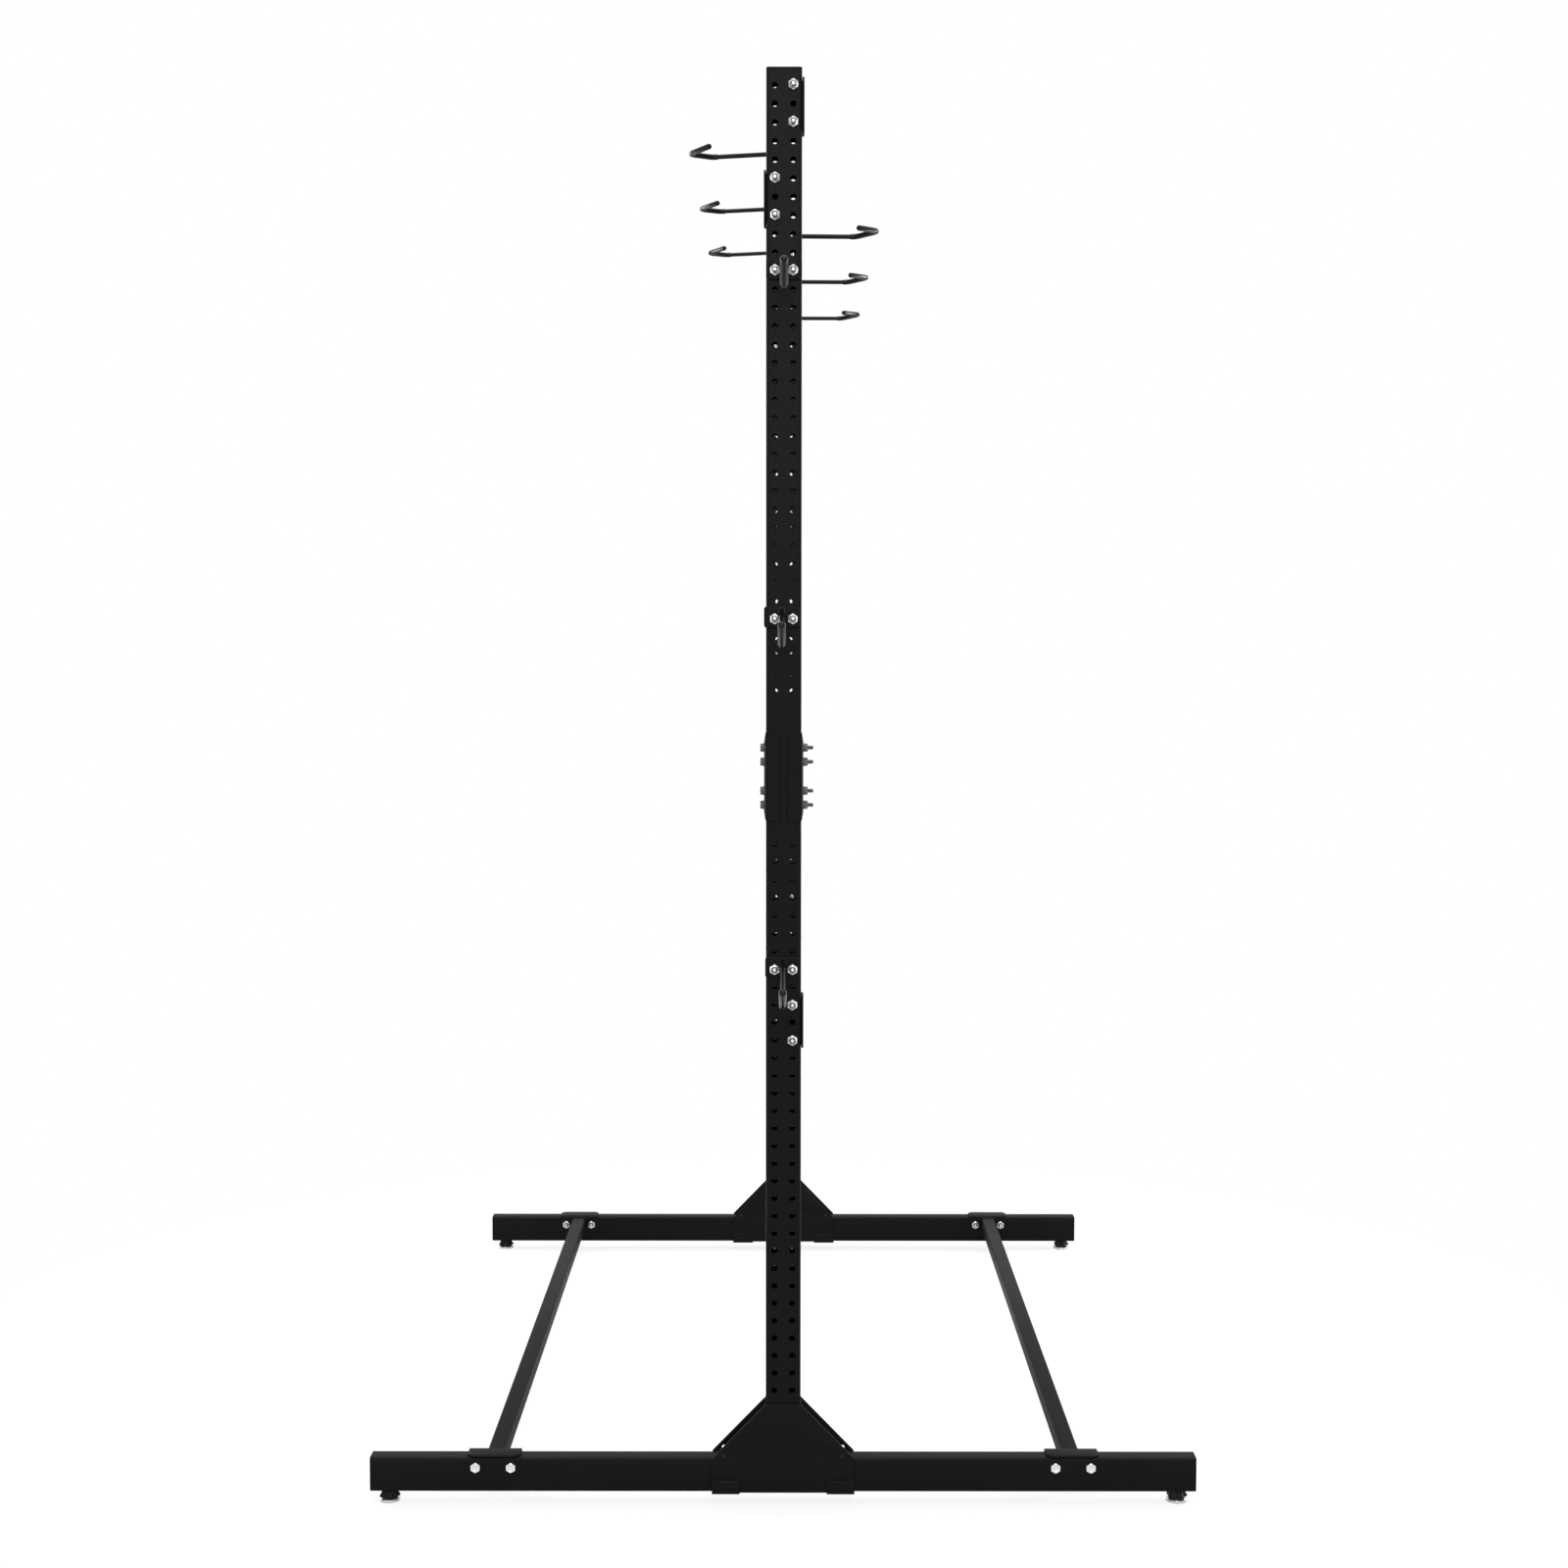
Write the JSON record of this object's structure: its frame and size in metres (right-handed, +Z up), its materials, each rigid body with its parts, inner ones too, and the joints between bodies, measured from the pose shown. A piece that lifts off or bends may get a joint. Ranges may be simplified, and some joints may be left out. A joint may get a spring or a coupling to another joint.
{
  "type": "vertical bike stand",
  "caption": "Free-standing steel rack that hangs bikes upright by the front wheel on staggered hooks on both sides of a perforated frame, with gear hooks and levelling feet.",
  "frame": {"origin": "middle of the overall box in plan, at floor level, with the levellers screwed in", "axes": "+Z up, +X to the right across the stand as seen from the end with the gear hooks, +Y away from that end towards the rear frame"},
  "size_m": [1.19, 1.5416, 2.032],
  "materials": {
    "powder_black": "satin black powder coat with a fine orange-peel texture",
    "plastic_black": "moulded black polyethylene, slightly shiny on its edges",
    "sleeve_black": "smooth black vinyl sleeve with a soft sheen",
    "zinc_bright": "bright zinc plate on steel"
  },
  "bodies": {
    "stand": {"foot_tube_front": "powder_black", "upright_lower_front": "powder_black", "upright_upper_front": "powder_black", "upright_cap_front": "plastic_black", "splice_shell_front_left": "powder_black", "foot_cap_front_left": "plastic_black", "splice_shell_front_right": "powder_black", "foot_cap_front_right": "plastic_black", "foot_tube_rear": "powder_black", "upright_lower_rear": "powder_black", "upright_upper_rear": "powder_black", "upright_cap_rear": "plastic_black", "splice_shell_rear_left": "powder_black", "foot_cap_rear_left": "plastic_black", "splice_shell_rear_right": "powder_black", "foot_cap_rear_right": "plastic_black", "floor_bar_left": "powder_black", "floor_bar_right": "powder_black", "rail_top": "powder_black", "rail_bolt_top_front_low": "zinc_bright", "rail_bolt_top_front_high": "zinc_bright", "rail_bolt_top_rear_low": "zinc_bright", "rail_bolt_top_rear_high": "zinc_bright", "rail_middle": "powder_black", "rail_bolt_middle_front_low": "zinc_bright", "rail_bolt_middle_front_high": "zinc_bright", "rail_bolt_middle_rear_low": "zinc_bright", "rail_bolt_middle_rear_high": "zinc_bright", "rail_lower": "powder_black", "rail_bolt_lower_front_low": "zinc_bright", "rail_bolt_lower_front_high": "zinc_bright", "rail_bolt_lower_rear_low": "zinc_bright", "rail_bolt_lower_rear_high": "zinc_bright", "bike_hook_left_1": "powder_black", "hook_sleeve_left_1": "sleeve_black", "bike_hook_left_2": "powder_black", "hook_sleeve_left_2": "sleeve_black", "bike_hook_left_3": "powder_black", "hook_sleeve_left_3": "sleeve_black", "bike_hook_right_1": "powder_black", "hook_sleeve_right_1": "sleeve_black", "bike_hook_right_2": "powder_black", "hook_sleeve_right_2": "sleeve_black", "bike_hook_right_3": "powder_black", "hook_sleeve_right_3": "sleeve_black", "gear_hook_1": "powder_black", "gear_sleeve_1": "sleeve_black", "gear_hook_2": "powder_black", "gear_sleeve_2": "sleeve_black", "gear_hook_3": "powder_black", "gear_sleeve_3": "sleeve_black"},
    "pad_front_left": {"leveller_pad_front_left": "zinc_bright"},
    "knob_front_left": {"leveller_knob_front_left": "plastic_black"},
    "pad_front_right": {"leveller_pad_front_right": "zinc_bright"},
    "knob_front_right": {"leveller_knob_front_right": "plastic_black"},
    "pad_rear_left": {"leveller_pad_rear_left": "zinc_bright"},
    "knob_rear_left": {"leveller_knob_rear_left": "plastic_black"},
    "pad_rear_right": {"leveller_pad_rear_right": "zinc_bright"},
    "knob_rear_right": {"leveller_knob_rear_right": "plastic_black"}
  },
  "joints": [
    {"name": "leveller_travel_front_left", "type": "slide", "parent": "stand", "child": "pad_front_left", "axis": [0, 0, -1], "range_m": [0, 0.012]},
    {"name": "leveller_turn_front_left", "type": "hinge", "parent": "pad_front_left", "child": "knob_front_left", "pos_m": [-0.569, -0.59564, 0.0115], "axis": [0, 0, -1], "range_deg": [0, 2880]},
    {"name": "leveller_travel_front_right", "type": "slide", "parent": "stand", "child": "pad_front_right", "axis": [0, 0, -1], "range_m": [0, 0.012]},
    {"name": "leveller_turn_front_right", "type": "hinge", "parent": "pad_front_right", "child": "knob_front_right", "pos_m": [0.569, -0.59564, 0.0115], "axis": [0, 0, -1], "range_deg": [0, 2880]},
    {"name": "leveller_travel_rear_left", "type": "slide", "parent": "stand", "child": "pad_rear_left", "axis": [0, 0, -1], "range_m": [0, 0.012]},
    {"name": "leveller_turn_rear_left", "type": "hinge", "parent": "pad_rear_left", "child": "knob_rear_left", "pos_m": [-0.569, 0.74436, 0.0115], "axis": [0, 0, -1], "range_deg": [0, 2880]},
    {"name": "leveller_travel_rear_right", "type": "slide", "parent": "stand", "child": "pad_rear_right", "axis": [0, 0, -1], "range_m": [0, 0.012]},
    {"name": "leveller_turn_rear_right", "type": "hinge", "parent": "pad_rear_right", "child": "knob_rear_right", "pos_m": [0.569, 0.74436, 0.0115], "axis": [0, 0, -1], "range_deg": [0, 2880]}
  ],
  "couplings": [
    {"joint": "leveller_turn_front_left", "follows": "leveller_travel_front_left", "rad_per_m": 4188.8},
    {"joint": "leveller_turn_front_right", "follows": "leveller_travel_front_right", "rad_per_m": 4188.8},
    {"joint": "leveller_turn_rear_left", "follows": "leveller_travel_rear_left", "rad_per_m": 4188.8},
    {"joint": "leveller_turn_rear_right", "follows": "leveller_travel_rear_right", "rad_per_m": 4188.8}
  ]
}
